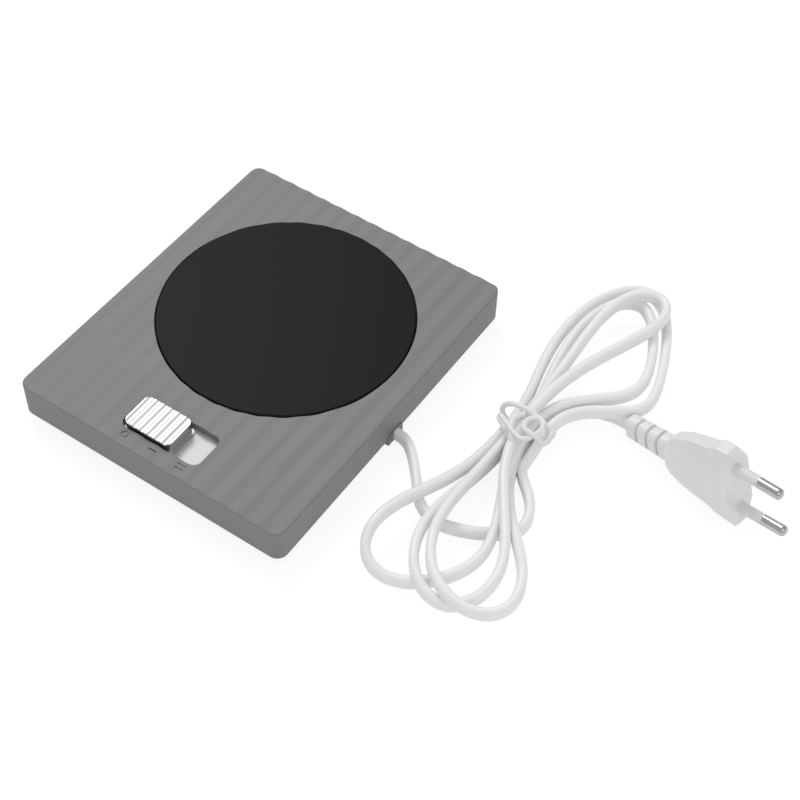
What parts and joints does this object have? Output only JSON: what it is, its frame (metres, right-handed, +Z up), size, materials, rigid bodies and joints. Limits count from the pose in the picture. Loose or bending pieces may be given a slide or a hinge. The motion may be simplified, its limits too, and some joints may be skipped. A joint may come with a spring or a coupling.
{
  "type": "electric mug warmer",
  "caption": "Grey rippled plastic mug warmer with a round black hot plate, a slide switch with a satin silver knob, and a white mains lead tied in a hank with a flat plug.",
  "frame": {"origin": "on the table under the middle of the housing", "axes": "+Z up, -Y towards the slide switch, +X towards the side the lead leaves by"},
  "size_m": [0.2443, 0.1766, 0.0349],
  "materials": {
    "housing_grey": "fine matt moulded plastic",
    "plate_black": "satin black enamel on the hot plate",
    "knob_satin": "satin silver top and chromed sides",
    "shutter_satin": "bright satin strip",
    "foot_rubber": "matt rubber",
    "seal_rubber": "matt silicone rubber",
    "mica": "mica sheet with its foil track",
    "sheet_steel": "plain rolled sheet steel",
    "glass_wool": "pressed glass fibre felt",
    "inner_black": "black heat-proof moulding",
    "zinc_steel": "zinc-plated steel",
    "fuse_metal": "tinned metal can",
    "board_green": "resist-coated circuit board",
    "terminal_white": "white nylon",
    "bush_grey": "soft grey plastic",
    "label_foil": "blank satin foil",
    "cord_white": "white soft plastic, slightly glossy",
    "tie_white": "white plastic-coated wire",
    "plug_white": "white moulded plastic",
    "pin_nickel": "nickel-plated brass",
    "sleeve_white": "white insulating sleeve"
  },
  "bodies": {
    "housing": {"top_cover": "housing_grey", "base_cover": "housing_grey", "case_screws": "zinc_steel", "feet": "foot_rubber", "rating_plate": "label_foil", "heating_plate": "plate_black", "plate_seal": "seal_rubber", "heater_element": "mica", "heater_clamp_plate": "sheet_steel", "insulation_pad": "glass_wool", "heat_shield": "sheet_steel", "plate_carrier": "inner_black", "carrier_screws": "zinc_steel", "thermostat": "inner_black", "thermal_fuse": "fuse_metal", "fuse_clip": "sheet_steel", "switch_body": "inner_black", "control_board": "board_green", "board_screws": "zinc_steel", "terminal_blocks": "terminal_white", "rectifier_diode": "inner_black", "cord_bush": "bush_grey", "cord_clamp": "inner_black", "clamp_screws": "zinc_steel", "cord_inner": "cord_white", "cord_lead": "cord_white", "cord_hank": "cord_white", "cord_tail": "cord_white", "cord_tie": "tie_white", "plug_body": "plug_white", "plug_pins": "pin_nickel", "pin_sleeves": "sleeve_white"},
    "slider": {"slider_knob": "knob_satin", "slot_shutter": "shutter_satin", "switch_lever": "terminal_white"}
  },
  "joints": [
    {"name": "switch_slide", "type": "slide", "parent": "housing", "child": "slider", "axis": [1, 0, 0], "range_m": [0, 0.0106]}
  ]
}
